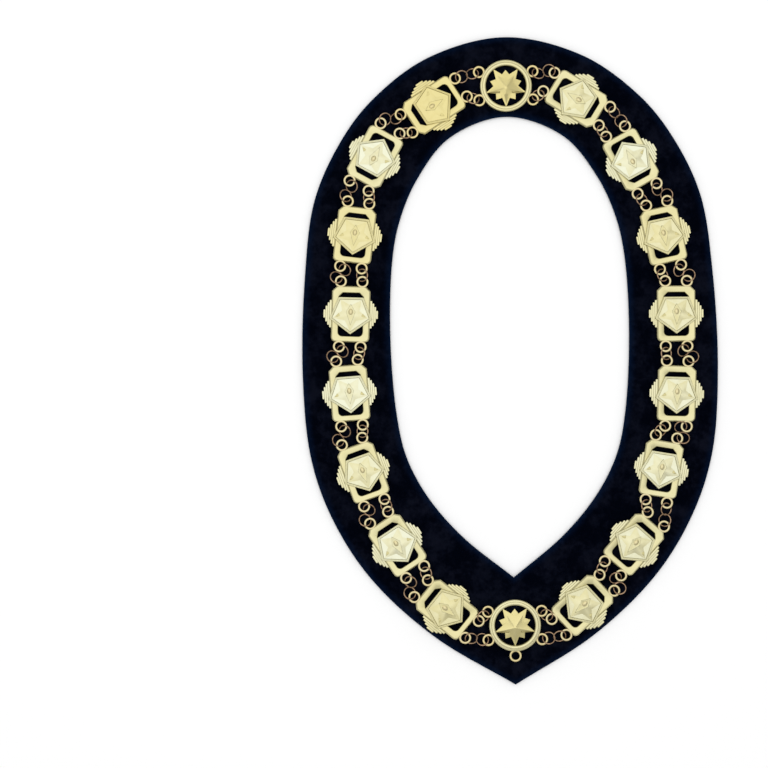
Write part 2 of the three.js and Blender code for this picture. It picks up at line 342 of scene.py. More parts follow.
def rectangle(
    half_width: float, low: float, high: float, cut: float, lower: Corner, upper: Corner,
    count: int = 6,
) -> Array:
    """A rectangle with cut or round corners, counter-clockwise.

    Args:
        half_width: Half of its width.
        low: Its lowest y.
        high: Its highest y.
        cut: How far the corners are cut, or their radius.
        lower: Finish of the lower corners.
        upper: Finish of the upper corners.
        count: Points at each corner.

    Returns:
        Rows of x and y.
    """
    share = np.linspace(0, 1, count)
    middles = np.array([
        [half_width - cut, low + cut], [half_width - cut, high - cut],
        [cut - half_width, high - cut], [cut - half_width, low + cut],
    ])
    starts = np.array([-0.5, 0.0, 0.5, 1.0]) * math.pi
    arc = on_circle(starts[:, None] + share * math.pi / 2)
    first = on_circle(starts)[:, None]
    last = first[..., ::-1] * [-1, 1]
    chord = first + (last - first) * share[:, None]
    is_round = np.array([corner is Corner.ROUND for corner in (lower, upper, upper, lower)])
    arms = np.where(is_round[:, None, None], arc, chord)
    return (middles[:, None] + arms * cut).reshape(-1, 2)


def star_outline(corners: Array, waist: float) -> Array:
    """The corners with an inner corner between each two, at half the waist times their sum."""
    inner = (corners + np.roll(corners, -1, axis=0)) * waist / 2
    return np.stack([corners, inner], axis=1).reshape(-1, 2)


def smooth_loop(stations: Array, count: int) -> Array:
    """A centripetal Catmull-Rom curve through the stations, at equal steps of its length.

    Each span is a cubic whose end slopes come from the roots of the distances between the four
    stations round it. The ends are drawn on in a straight line.

    Args:
        stations: Rows of x and y, the last at the place of the first.
        count: Number of points, without the repeated last one.

    Returns:
        Rows of x and y.
    """
    before, after = 2 * stations[0] - stations[1], 2 * stations[-1] - stations[-2]
    ends = np.concatenate([[before], stations, [after]])
    p0, p1, p2, p3 = ends[:-3], ends[1:-2], ends[2:-1], ends[3:]
    spans = ((p0, p1), (p1, p2), (p2, p3))
    d0, d1, d2 = (np.linalg.norm(b - a, axis=1, keepdims=True) ** 0.5 for a, b in spans)
    m1 = d1 * ((p1 - p0) / d0 - (p2 - p0) / (d0 + d1) + (p2 - p1) / d1)
    m2 = d1 * ((p2 - p1) / d1 - (p3 - p1) / (d1 + d2) + (p3 - p2) / d2)
    cuts = 64
    t = np.linspace(0, 1, cuts + 1)[:-1, None, None]
    curve = (
        p1 + m1 * t + (3 * (p2 - p1) - 2 * m1 - m2) * t ** 2 + (2 * (p1 - p2) + m1 + m2) * t ** 3
    ).transpose(1, 0, 2).reshape(-1, 2)
    curve = np.concatenate([curve, stations[-1:]])
    way = np.concatenate([[0], np.cumsum(np.linalg.norm(np.diff(curve, axis=0), axis=1))])
    places = np.arange(count) * way[-1] / count
    return np.stack([np.interp(places, way, curve[:, axis]) for axis in (0, 1)], axis=-1)


def ripple(x: Array, y: Array, length: float) -> Array:
    """A gentle unevenness between -1 and 1: the mean of three sine waves.

    Args:
        x: Places across.
        y: Places along.
        length: About the length of the waves.

    Returns:
        One number for each place.
    """
    k = 2 * math.pi / length
    waves = ((1, 0.92, 0.38, 0.7), (1.31, 0.26, -0.96, 2.1), (0.77, -0.71, 0.71, 4.4))
    return sum(
        np.sin(k * pace * (across * x + along * y) + start) for pace, across, along, start in waves
    ) / len(waves)


def hump(distance: Array, middle: float, width: float) -> Array:
    """A bell of height 1 about a middle."""
    return np.exp(-((distance - middle) / width) ** 2)


# Shader nodes.


class NodeBook:
    """Adds nodes to one material and links them."""

    def __init__(self, name: str) -> None:
        """Makes a material with a surface shader.

        Args:
            name: Name of the material.
        """
        self.material = bpy.data.materials.new(name)
        self.material.use_nodes = True
        self.tree = self.material.node_tree
        self.tree.nodes.clear()
        self.shader = self.add("ShaderNodeBsdfPrincipled")
        self.add("ShaderNodeOutputMaterial", {"Surface": self.shader.outputs["BSDF"]})

    def add(self, kind: str, inputs: dict[Any, Any] | None = None, **settings: Any) -> Any:
        """Adds a node, sets its properties, then fills or links its sockets.

        Args:
            kind: Blender's name for the type of node.
            inputs: What goes into each socket, by name or number.
            settings: Values of the node's properties.

        Returns:
            The node.
        """
        node = self.tree.nodes.new(kind)
        for name, value in settings.items():
            setattr(node, name, value)
        for name, value in (inputs or {}).items():
            self.fill(node.inputs[name], value)
        return node

    def fill(self, socket: Any, value: Any) -> None:
        """Links a socket to another one, or sets its value.

        Args:
            socket: The input to fill.
            value: A Number, another socket, a number, a colour or None to leave it.
        """
        if isinstance(value, Number):
            self.tree.links.new(value.socket, socket)
        elif isinstance(value, bpy.types.NodeSocket):
            self.tree.links.new(value, socket)
        elif isinstance(value, tuple) and len(socket.default_value) == 4:
            socket.default_value = (*value, 1.0)
        elif value is not None:
            socket.default_value = value

    def attribute(self, name: str) -> "Number":
        """A number that the mesh holds for each point."""
        node = self.add("ShaderNodeAttribute", attribute_name=name)
        return Number(self, node.outputs["Fac"])

    def noise(self, size: float, detail: float, roughness: float = 0.55) -> "Number":
        """Cloudy noise on the object's coordinates.

        Args:
            size: About the size of a lump.
            detail: Number of finer layers.
            roughness: Strength of each layer beside the last.

        Returns:
            A number about 0.5.
        """
        place = self.add("ShaderNodeTexCoord").outputs["Object"]
        node = self.add("ShaderNodeTexNoise", {
            "Vector": place, "Scale": 1 / (size * MM), "Detail": detail, "Roughness": roughness,
        })
        return Number(self, node.outputs["Fac"])

    def blend(self, factor: "Number", low: Any, high: Any) -> Any:
        """The socket of a colour between the low one, at factor 0, and the high one, at 1."""
        return self.add("ShaderNodeMix", {0: factor, 6: low, 7: high}, data_type="RGBA").outputs[2]

    def bump(self, height: "Number", depth: float, under: Any = None) -> Any:
        """The socket of a normal bent by a height whose 1 stands for a depth in millimetres."""
        inputs = {"Height": height, "Distance": depth * MM, "Normal": under}
        return self.add("ShaderNodeBump", inputs).outputs["Normal"]


class Number:
    """A socket that holds a number, for sums written as they are read."""

    def __init__(self, book: NodeBook, socket: Any) -> None:
        """Wraps an output's socket, for sums whose nodes the book adds."""
        self.book = book
        self.socket = socket

    def _sum(self, operation: str, first: Any, second: Any) -> "Number":
        """The outcome of one operation on two numbers or sockets."""
        node = self.book.add("ShaderNodeMath", {0: first, 1: second}, operation=operation)
        return Number(self.book, node.outputs[0])

    def __add__(self, other: Any) -> "Number":
        """Self plus the other."""
        return self._sum("ADD", self, other)

    def __radd__(self, other: Any) -> "Number":
        """The other plus self."""
        return self._sum("ADD", other, self)

    def __sub__(self, other: Any) -> "Number":
        """Self less the other."""
        return self._sum("SUBTRACT", self, other)

    def __rsub__(self, other: Any) -> "Number":
        """The other less self."""
        return self._sum("SUBTRACT", other, self)

    def __mul__(self, other: Any) -> "Number":
        """Self times the other."""
        return self._sum("MULTIPLY", self, other)

    def swayed(self, noise: "Number", amount: float) -> "Number":
        """Self, pushed up and down by a noise about 0.5."""
        return self + (noise - 0.5) * amount

    def ramp(self, low: float, high: float) -> "Number":
        """A smooth rise from 0 to 1.

        Args:
            low: Where it starts to rise.
            high: Where it reaches 1.

        Returns:
            The number after the rise.
        """
        inputs = {"Value": self, "From Min": low, "From Max": high}
        node = self.book.add("ShaderNodeMapRange", inputs, interpolation_type="SMOOTHSTEP")
        return Number(self.book, node.outputs["Result"])


# Finishes: one class for each material.


class Finish(ABC):
    """A look of a surface."""

    name: ClassVar[str]

    @abstractmethod
    def sockets(self, book: NodeBook) -> dict[str, Any]:
        """What goes into the sockets of the surface shader, by their names."""

    def material(self) -> bpy.types.Material:
        """Builds the material.

        Returns:
            The new material.
        """
        book = NodeBook(self.name)
        for socket, value in self.sockets(book).items():
            book.fill(book.shader.inputs[socket], value)
        return book.material


@dataclass(frozen=True)
class GiltFinish(Finish):
    """Pale bright gilding on cast metal: painted shade darkens the hollows and undersides, a painted
    highlight with worn gilding lightens the crests, and a painted pale glare and warmth differ from
    piece to piece.
    """

    name: ClassVar[str] = "gilt_finish"
    # Painted light: hollow is the painted shade of hollows and undersides, and crest is lighter for
    # a painted highlight with worn gilding.
    hollow: Colour = (0.15, 0.12, 0.05)
    body: Colour = (0.465, 0.423, 0.215)
    crest: Colour = (0.53, 0.495, 0.29)
    # Painted light: the warm yellow and the whitish colour after it stand in for how the light falls
    # on each piece; the whitish one is a painted highlight.
    warm: Colour = (0.525, 0.447, 0.18)
    silver: Colour = (0.555, 0.56, 0.43)
    copper: Colour = (0.49, 0.36, 0.21)
    grain: float = 0.7
    grain_depth: float = 0.010
    patch: float = 7.0
    patch_depth: float = 0.06
    rub_sway: float = 0.5
    colour_sway: float = 0.3
    rubbed_from: float = 0.45
    warm_range: Span = (0.1, 1.1)
    silver_least: float = 0.6
    silver_full: float = 1.2
    polish: float = 0.24
    haze: float = 0.14

    def sockets(self, book: NodeBook) -> dict[str, Any]:
        """The gilding, by the mesh's attributes and cloudy noise.

        Args:
            book: Adds the nodes.

        Returns:
            What goes into each socket.
        """
        tone, warmth, pale = (book.attribute(name) for name in ("tone", "warmth", "pale"))
        patches, specks = book.noise(self.patch, 3), book.noise(self.grain, 5, 0.65)
        # A painted highlight with worn gilding where the tone is high, and painted shade in the dark
        # hollow colour where it is low.
        highlight_and_wear = tone.swayed(patches, self.rub_sway).ramp(self.rubbed_from, 1.0)
        deep = tone.swayed(specks, self.colour_sway).ramp(0.0, self.rubbed_from)
        # Painted light from piece to piece: yellower with the warmth, and washed out to the whitish
        # painted highlight with the paleness.
        yellow = warmth.swayed(patches, self.colour_sway).ramp(*self.warm_range)
        white = (pale * (self.silver_least + patches)).ramp(0.0, self.silver_full)
        metal = book.blend(highlight_and_wear, self.body, self.crest)
        metal = book.blend(yellow, metal, self.warm)
        metal = book.blend(white, metal, self.silver)
        metal = book.blend((pale * -1.0).ramp(0.0, 1.0), metal, self.copper)
        coarse = book.bump(patches, self.patch_depth)
        return {
            "Base Color": book.blend(deep, self.hollow, metal),
            "Roughness": self.polish + specks * self.haze + (1.0 - deep) * self.haze,
            "Normal": book.bump(specks, self.grain_depth, coarse),
            "Metallic": 1.0,
        }


@dataclass(frozen=True)
class LinkFinish(Finish):
    """Thin drawn wire, redder than the castings and darker in random patches."""

    name: ClassVar[str] = "link_finish"
    bright: Colour = (0.40, 0.27, 0.17)
    dull: Colour = (0.16, 0.10, 0.06)
    patch: float = 2.5
    patch_range: Span = (0.3, 0.6)
    scratch: float = 0.25
    scratch_depth: float = 0.02
    polish: float = 0.22
    haze: float = 0.2

    def sockets(self, book: NodeBook) -> dict[str, Any]:
        """The wire, patchy and finely scratched.

        Args:
            book: Adds the nodes.

        Returns:
            What goes into each socket.
        """
        patches, scratches = book.noise(self.patch, 4), book.noise(self.scratch, 3)
        return {
            "Base Color": book.blend(patches.ramp(*self.patch_range), self.dull, self.bright),
            "Roughness": self.polish + scratches * self.haze,
            "Normal": book.bump(scratches, self.scratch_depth),
            "Metallic": 1.0,
        }


@dataclass(frozen=True)
class VelvetFinish(Finish):
    """Near-black navy velvet: short brushed pile, and a painted bluer sheen where it turns over an
    edge.
    """

    name: ClassVar[str] = "velvet_finish"
    dark: Colour = (0.0006, 0.0010, 0.0029)
    brushed: Colour = (0.0042, 0.0050, 0.0102)
    # turned is the blue of the painted sheen on the turned edges, also mixed into the tips of the
    # pile.
    turned: Colour = (0.0025, 0.0090, 0.0300)
    sheen: Colour = (0.06, 0.16, 0.50)
    sheen_weight: float = 0.06
    sheen_roughness: float = 0.4
    nap: float = 16.0
    nap_depth: float = 0.25
    nap_share: float = 0.7
    nap_range: Span = (0.42, 0.66)
    fold_share: float = 0.8
    pile: float = 0.45
    pile_depth: float = 0.30
    pile_range: Span = (0.05, 0.25)
    pile_share: float = 0.35
    rough: float = 0.86
    haze: float = 0.12

    def sockets(self, book: NodeBook) -> dict[str, Any]:
        """The cloth, brushed in patches, with a painted bluer sheen on its turned edges and bluer
        tips of the pile.

        Args:
            book: Adds the nodes.

        Returns:
            What goes into each socket.
        """
        nap, streaks = book.noise(self.nap, 4, 0.6), book.noise(self.nap / 5, 3, 0.7)
        pile, edge_sheen = book.noise(self.pile, 2, 0.8), book.attribute("tone")
        patches = (nap * self.nap_share + streaks * (1 - self.nap_share)).ramp(*self.nap_range)
        # Painted sheen: the cloth is drawn bluer where it turns over an edge.
        sheen = (edge_sheen * self.fold_share * (0.5 + streaks)).ramp(0.1, 1.0)
        tips = (pile - 0.5).ramp(*self.pile_range) * self.pile_share
        cloth = book.blend(patches, self.dark, self.brushed)
        cloth = book.blend(sheen, cloth, self.turned)
        soft = book.bump(nap, self.nap_depth)
        return {
            "Base Color": book.blend(tips, cloth, self.turned),
            "Roughness": self.rough + pile * self.haze,
            "Normal": book.bump(pile, self.pile_depth, soft),
            "Sheen Weight": self.sheen_weight,
            "Sheen Roughness": self.sheen_roughness,
            "Sheen Tint": self.sheen,
            "Specular IOR Level": 0.0,
        }


@dataclass(frozen=True)
class FloorFinish(Finish):
    """A plain matt white sweep."""

    name: ClassVar[str] = "floor_finish"
    colour: Colour = (0.93, 0.93, 0.93)
    rough: float = 0.9
    gloss: float = 0.1

    def sockets(self, book: NodeBook) -> dict[str, Any]:
        """One colour all over."""
        return {"Base Color": self.colour, "Roughness": self.rough, "Specular IOR Level": self.gloss}


# Pieces: one class for each sub-assembly.


def shown(thing: bpy.types.Object) -> bpy.types.Object:
    """The object, now linked to the scene."""
    bpy.context.scene.collection.objects.link(thing)
    return thing


@dataclass(frozen=True)
class Piece:
    """A visible piece that stands for one node."""

    node: str
    slot: Slot
    shell: Shell
    warmth: float = 0.0
    crease: float = 28.0

    def dressed(self, material: bpy.types.Material) -> bpy.types.Object:
        """Makes the piece's object and ties it to its node.

        Args:
            material: The finish of the whole piece.

        Returns:
            The object, linked to the scene.
        """
        mesh = bpy.data.meshes.new(self.node + "_form")
        faces = self.shell.quads.tolist() + self.shell.triangles.tolist()
        mesh.from_pydata((self.shell.points * MM).tolist(), [], faces)
        warmths = np.full(len(self.shell.points), self.warmth)
        shades = {"tone": self.shell.tones, "pale": self.shell.pale, "warmth": warmths}
        for name, values in shades.items():
            attribute = mesh.attributes.new(name, "FLOAT", "POINT")
            attribute.data.foreach_set("value", values.astype(np.float32))
        work = bmesh.new()
        work.from_mesh(mesh)
        bmesh.ops.recalc_face_normals(work, faces=work.faces)
        work.to_mesh(mesh)
        work.free()
        mesh.polygons.foreach_set("use_smooth", np.ones(len(mesh.polygons), bool))
        mesh.set_sharp_from_angle(angle=math.radians(self.crease))
        mesh.materials.append(material)
        thing = shown(bpy.data.objects.new(self.node + "_form", mesh))
        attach(thing, "root")
        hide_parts(self.node)
        return thing


@dataclass(frozen=True)
class VelvetCollar:
    """The velvet, cut to a point, with its edges turned under.

    Attributes:
        outline: Rows of shares, of the length from the tip and of the half width.
        opening: The same for the head opening.
        waves: Rows of height and length.
        rolls: Rows of height, distance from the edge and width.
        folds: Rows of the painted bluer sheen's strength and width.
    """

    length: float = 457.0
    width: float = 293.0
    opening_length: float = 325.0
    opening_width: float = 168.4
    tip_band: float = 75.7
    thickness: float = 2.4
    flat_area: float = 0.0619
    outline: Rows = (
        (0, 0), (0.076, 0.387), (0.168, 0.69), (0.261, 0.87), (0.353, 0.966), (0.476, 1),
        (0.631, 0.983), (0.754, 0.928), (0.846, 0.793), (0.908, 0.639), (0.97, 0.373),
    )
    opening: Rows = (
        (0, 0), (0.09, 0.423), (0.177, 0.707), (0.263, 0.879), (0.35, 0.954), (0.523, 1),
        (0.697, 0.971), (0.783, 0.9), (0.87, 0.749), (0.957, 0.473),
    )
    waves: Rows = ((0.10, 38), (0.05, 13))
    rolls: Rows = ((0.12, 3.2, 2.0), (-0.10, 7.5, 1.6))
    folds: Rows = ((1.0, 1.6), (0.65, 5.5))
    fold_from: float = 0.6
    level_band: float = 3.0
    steps: int = 720
    edge_steps: int = 9
    top_steps: int = 44

    def loop(self, stations: Rows, tip: float, length: float, width: float) -> Array:
        """One edge of the cloth from the tip round to the tip.

        Args:
            stations: Shares of the length from the tip and of the half width.
            tip: The y of the tip.
            length: Length of the loop.
            width: Width of the loop.

        Returns:
            Points at equal steps, as rows of x and y.
        """
        along, across = np.array(stations, float).T
        right = np.column_stack([across * width / 2, tip + along * length])
        top = np.array([[0.0, tip + length]])
        return smooth_loop(np.concatenate([right, top, right[::-1] * [-1, 1]]), self.steps)

    def shell(self) -> Shell:
        """The cloth as one closed sheet.

        A section runs from the outer edge over the uneven top to the opening's edge and back
        underneath. On an edge of radius r, the point at angle a of a half turn lies
        r - r * cos(a) inwards and r + r * sin(a) up.

        Returns:
            The closed shell.
        """
        tip = -self.length / 2
        outer = self.loop(self.outline, tip, self.length, self.width)
        tip += self.tip_band
        inner = self.loop(self.opening, tip, self.opening_length, self.opening_width)
        reach = np.linalg.norm(inner - outer, axis=1)
        inwards = (inner - outer) / reach[:, None]
        r = self.thickness / 2
        a = np.linspace(-math.pi / 2, math.pi / 2, self.edge_steps)
        share = np.linspace(0, 1, self.top_steps + 2)[1:-1, None]
        edge_in, edge_up = r * (1 - np.cos(a))[:, None], (r * (1 + np.sin(a)))[:, None]
        full = np.ones((1, self.steps))
        top_in = r + (reach - 2 * r) * share
        under = top_in[::-1][4::8]
        distance = np.concatenate([edge_in * full, top_in, reach - edge_in[::-1] * full, under])
        flat = self.thickness * np.ones_like(top_in)
        height = np.concatenate([edge_up * full, flat, edge_up[::-1] * full, np.zeros_like(under)])
        place = outer + inwards * distance[..., None]
        near = np.minimum(distance, reach - distance)
        top = np.zeros(len(distance))
        top[self.edge_steps:self.edge_steps + self.top_steps] = 1
        x, y = place[..., 0], place[..., 1]
        uneven = sum(depth * ripple(x, y, wave) for depth, wave in self.waves)
        roll = sum(depth * hump(near, middle, width) for depth, middle, width in self.rolls)
        height = height + top[:, None] * np.minimum(near / self.level_band, 1) * (uneven + roll)
        points = np.concatenate([place, height[..., None]], axis=-1)
        # Painted sheen: strongest at the turned edges, and kept to the top of the cloth.
        edge_sheen = np.max([strength * hump(near, 0, width) for strength, width in self.folds], axis=0)
        shell = Shell.through(points, np.zeros(len(points)), closed=True)
        shell.tones = (edge_sheen * (height > r * self.fold_from)).reshape(-1)
        return shell


@dataclass(frozen=True)
class Metalwork:
    """Sizes that all the castings share."""

    seat: float = 2.7
    plate: float = 2.9
    eye_outer: float = 8.6
    eye_hole: float = 5.6
    eye_height: float = 1.0
    eye_power: float = 0.6
    eye_section: int = 20
    eye_sides: int = 44
    eye_copper: float = 0.4

    def eye(self, x: float, y: float, lift: float) -> Shell:
        """A flat round eye, whose section is a circle squared by eye_power.

        Args:
            x: Its middle across the casting.
            y: Its middle along the casting.
            lift: Height of its middle.

        Returns:
            The eye as a shell.
        """
        mean, wall = (self.eye_outer + self.eye_hole) / 4, (self.eye_outer - self.eye_hole) / 4
        wave = on_circle(full_turn(self.eye_section))
        squared = np.sign(wave) * np.abs(wave) ** self.eye_power
        section = np.array([mean, 0]) + squared * [wall, self.eye_height / 2]
        # Painted light: the eye's tone is higher on top and lower underneath, giving a painted
        # highlight above and painted shade below.
        eye = turned(section, 0.55 + 0.3 * squared[:, 1], self.eye_sides)
        return eye.moved((x, y, lift)).paler(-self.eye_copper)


@dataclass(frozen=True)
class JumpRing:
    """A jump ring, and how rings lie between two eyes."""

    outer: float = 9.4
    wire: float = 0.9
    wire_sides: int = 5
    wire_clearance: float = 0.3
    pull: float = 1.15
    solder: float = 0.1
    tone: float = 0.7
    section_steps: int = 12
    ring_sides: int = 56
    metal: Metalwork = Metalwork()

    @property
    def mean(self) -> float:
        """Radius of the middle of the wire."""
        return (self.outer - self.wire) / 2

    @property
    def reach(self) -> float:
        """From the middle of a taut ring to the middle of its eye."""
        return self.mean + self.pull

    @property
    def pitch(self) -> float:
        """From ring to ring."""
        return 2 * (self.mean - self.wire / 2 * math.cos(math.pi / self.wire_sides)) + self.solder

    @property
    def tilt(self) -> float:
        """The least tilt at which the wire passes over and under the eye.

        Returns:
            The angle in radians. Its sine is the height to clear over the distance from the line
            between the middles to where the two circles cross.
        """
        eye_mean = (self.metal.eye_outer + self.metal.eye_hole) / 4
        cross = (self.reach ** 2 + self.mean ** 2 - eye_mean ** 2) / (2 * self.reach)
        height = (self.metal.eye_height + self.wire) / 2 + self.wire_clearance
        return math.asin(height / math.sqrt(self.mean ** 2 - cross ** 2))

    @property
    def lift(self) -> float:
        """Height of the rings' middles above the castings' underside."""
        return self.mean * math.sin(self.tilt) + self.wire / 2

    def ring(self, centre: Array, direction: Array, tilt: float) -> Shell:
        """One ring, tilted about the direction that it is pulled in.

        Args:
            centre: Middle of the ring.
            direction: Where it is pulled to.
            tilt: Angle about that direction in radians.

        Returns:
            The ring as a shell.
        """
        wire = self.wire / 2 * on_circle(full_turn(self.section_steps))
        turn = math.atan2(direction[1], direction[0])
        tones = np.full(self.section_steps, self.tone)
        whole = turned(wire + [self.mean, 0], tones, self.ring_sides)
        return whole.moved((*centre, self.metal.seat + self.lift), turn, tilt)

    def strand(self, start: Array, end: Array, count: int, side: int) -> Shell:
        """The rings between two eyes.

        Args:
            start: Middle of the first eye.
            end: Middle of the second eye.
            count: Number of rings.
            side: The sign of the side's x, which mirrors how they lie.

        Returns:
            All the rings as one shell.
        """
        span = end - start
        distance = np.linalg.norm(span)
        run = (count - 1) * self.pitch
        swing = 0.0
        if count > 1:
            cosine = (distance ** 2 + run ** 2 - 4 * self.mean ** 2) / (2 * distance * run)
            swing = side * math.acos(min(1.0, cosine))
        line = rotation(swing) @ (span / distance)
        first = (start + end) / 2 - line * run / 2
        return Shell.joined([
            self.ring(
                first + line * index * self.pitch, first - start, -side * self.tilt * (-1) ** index
            ) for index in range(count)
        ])


class Place(NamedTuple):
    """Where a plaque lies and how it is gilded.

    Attributes:
        x: Distance from the middle line.
        y: Place along the collar.
        lean: Degrees that its upper end turns towards the middle line.
        slot_lower: Whether its slot is at the lower end.
        warmth: How yellow it is, from 0 to 1: painted light, standing in for how the light falls on
            it.
        pale: How far its shield is washed out to a whitish painted highlight, from 0 to 1.
    """

    x: float
    y: float
    lean: float
    slot_lower: bool
    warmth: float
    pale: float


@dataclass(frozen=True)
class Plaque:
    """A pierced frame with stepped reeds and a shield that carries a star.

    The tables of steps hold rows of height, inset and tone for steps_at; a low tone paints shade at
    feet and in hollows, and a high one paints a highlight with worn gilding.
    """

    width: float = 27.2
    length: float = 39.8
    corner_cut: float = 3.6
    side_bar: float = 5.0
    blunt_bar: float = 4.9
    point_bar: float = 4.4
    inner_cut: float = 2.8
    rise_steps: Rows = ((-0.95, 0, 0.5), (-0.7, 0.12, 0.75), (-0.12, 0.85, 0.9), (0, 1.05, 0.8))
    fall_steps: Rows = ((0, 0.5, 0.8), (-0.08, 0.32, 0.8), (-0.35, 0.08, 0.65), (-0.55, 0, 0.4))
    eye_spacing: float = 15.2
    eye_standoff: float = 3.0
    reed_width: float = 1.39
    reed_length: float = 19.4
    reed_count: int = 4
    reed_fall: float = 1.25
    reed_drop: float = 0.4
    reed_round: float = 0.16
    reed_slope: float = 0.4
    web_reach: float = 0.4
    web_drop: float = 0.25
    shield: Rows = ((0, -14.3), (15, -3.4), (8.7, 11.8), (-8.7, 11.8), (-15, -3.4))
    shield_rise: float = 1.4
    border_steps: Rows = (
        (-0.6, 0, 0.5), (-0.25, 0.06, 0.8), (-0.05, 0.22, 1.0), (0, 0.38, 1.0),
        (-0.02, 0.62, 0.95), (-0.16, 0.74, 0.6), (-0.16, 0.8, 0.6), (-0.05, 0.92, 0.9),
        (-0.05, 1.3, 0.95), (-0.2, 1.45, 0.8),
    )
    field_sink: float = 0.7
    field_steps: Rows = ((0.1, 1.6, 0.6), (0, 1.7, 0.55))
    field_size: float = 0.85
    star_rise: float = 1.9
    star_size: float = 0.84
    star_waist: float = 0.62
    kite: Rows = ((0, -8.0), (3.3, 1.5), (0, 7.0), (-3.3, 1.5))
    kite_steps: Rows = (
        (-1.1, 0, 0.4), (-0.88, 0.22, 0.8), (-0.84, 0.45, 0.85), (-0.9, 0.65, 0.6),
        (-0.92, 0.8, 0.5),
    )
    boss_size: Span = (1.6, 2.2)
    boss_y: float = 1.5
    boss_rise: float = 0.45
    boss_drop: float = 0.88
    boss_root: float = 1.6
    # Painted shadow: a dark raised triangle beside a side arm of the star, cast with its mirror
    # image.
    pit: Rows = ((6.9, -2.1), (10.6, -2.0), (8.6, 0.5))
    pit_steps: Rows = ((-0.3, 0, 0.25), (0.4, 0, 0.25), (0.52, 0.4, 0.36))
    metal: Metalwork = Metalwork()

    @property
    def crest(self) -> float:
        """Height of the shield's border."""
        return self.metal.plate + self.shield_rise

    @property
    def sunk(self) -> float:
        """Height of the field inside the border."""
        return self.crest - self.field_sink

    def frame_bars(self) -> Shell:
        """The frame, bevelled on both sides of its bars.

        Returns:
            The frame as a shell.
        """
        half, top = self.length / 2, self.metal.plate
        outer = rectangle(self.width / 2, -half, half, self.corner_cut, Corner.ROUND, Corner.CUT)
        window = rectangle(
            self.width / 2 - self.side_bar, self.point_bar - half, half - self.blunt_bar,
            self.inner_cut, Corner.ROUND, Corner.CUT,
        )
        # Painted shade at the outer and inner foot of the frame, and a painted highlight with worn
        # gilding on its top.
        rise = [Step(0, 0.2, 0.2), Step(0.2, 0, 0.3), *steps_at(top, self.rise_steps)]
        fall = [*steps_at(top, self.fall_steps), Step(0.2, 0, 0.1), Step(0, 0.2, 0.1)]
        return cast_frame(outer, window, rise, fall)

    def reeds(self, side: int) -> list[Shell]:
        """The half-round reeds on one side.

        The reed at a share s of the wing is shorter by s ** reed_fall of reed_length.

        Args:
            side: The sign of the side's x.

        Returns:
            The reeds, and the web that roots them in the frame.
        """
        r, end = self.reed_width / 2, self.reed_length / 2
        top = self.metal.plate - self.reed_drop
        # Painted shade at the foot of each reed, and a painted highlight along its top.
        steps = [Step(0, 0.1, 0.2), Step(0.15, 0, 0.2)] + [
            Step(top - self.reed_round * (1 - z), r * (1 - x) * self.reed_slope, 0.75 + 0.25 * z)
            for x, z in on_circle(np.linspace(0, 0.45 * math.pi, 7))
        ]
        shells = []
        for reed in range(self.reed_count):
            reach = end * (1 - (reed / self.reed_count) ** self.reed_fall)
            bar = rectangle(r, -reach, reach, r * 0.85, Corner.ROUND, Corner.ROUND, 4)
            x = side * (self.width / 2 + (2 * reed + 1) * r)
            shells.append(cast(bar, steps).moved((x, 0, 0)))
        half_bar = self.side_bar / 2
        root = rectangle(half_bar + self.web_reach, -end, end, 0.5, Corner.CUT, Corner.CUT, 2)
        rise = [Step(0, 0.1, 0.2), Step(0.1, 0, 0.2), Step(top - self.web_drop, 0, 0.6)]
        middle = side * (self.width / 2 - half_bar + self.web_reach)
        shells.append(cast(root, rise).moved((middle, 0, 0)))
        return [shell.paler(0.6) for shell in shells]

    def shield_form(self) -> Shell:
        """The shield with its double moulded border round a sunk field.

        Returns:
            The shield as a shell.
        """
        return cast(self.shield, [
            Step(0, 0.2, 0.2), Step(0.2, 0, 0.25), *steps_at(self.crest, self.border_steps),
            *steps_at(self.sunk, self.field_steps),
        ]).paler(0.7)

    def ornaments(self) -> list[Shell]:
        """The star in the field, with a kite and an oval boss on it.

        At a share s of its outline, the boss has reached 1 - s ** 2 of its rise.

        Returns:
            The star, the fields between its arms, the kite, two dark marks of painted shadow beside
            its side arms, and the boss.
        """
        sunk, peak = self.sunk, self.sunk + self.star_rise
        points = np.array(self.shield, float)
        outline = star_outline(points * self.star_size, self.star_waist)
        star = peaked(outline, sunk - 0.4, rim=sunk + 0.15, crest=peak - 0.8)
        # The fields between the arms are drawn palest: a whitish painted highlight.
        fields = peaked(points * self.field_size, sunk - 0.5, rim=sunk + 0.05, crest=sunk + 0.1)
        kite = cast(self.kite, [Step(sunk, 0, 0.3), *steps_at(peak, self.kite_steps)])
        # Two dark marks of painted shadow beside the star's side arms.
        shadow_marks = cast_pair(self.pit, steps_at(sunk, self.pit_steps))
        oval = on_circle(full_turn(28)) * self.boss_size
        shares = np.concatenate([[1.0], np.linspace(1, 0.07, 8)])
        heights = peak - self.boss_drop + self.boss_rise * (1 - shares ** 2)
        heights[0] = peak - self.boss_root
        # The boss's tone rises towards its top: a painted highlight.
        boss = Shell.through(shrunk(oval, shares, heights), 1.0 - 0.4 * shares, closed=False)
        return [
            star.paler(0.7), fields.paler(1.2), kite.paler(0.6), *shadow_marks,
            boss.moved((0, self.boss_y, 0)).paler(-0.3),
        ]

    def shell(self, lift: float) -> Shell:
        """The whole casting at the origin.

        Args:
            lift: Height of the eyes' middles.

        Returns:
            The casting, its blunt end towards +Y.
        """
        x, y = self.eye_spacing / 2, self.length / 2 + self.eye_standoff
        eyes = [self.metal.eye(side * x, end * y, lift) for end in (-1, 1) for side in (-1, 1)]
        return Shell.joined([
            self.frame_bars(), *self.reeds(1), *self.reeds(-1), self.shield_form(),
            *self.ornaments(), *eyes,
        ])


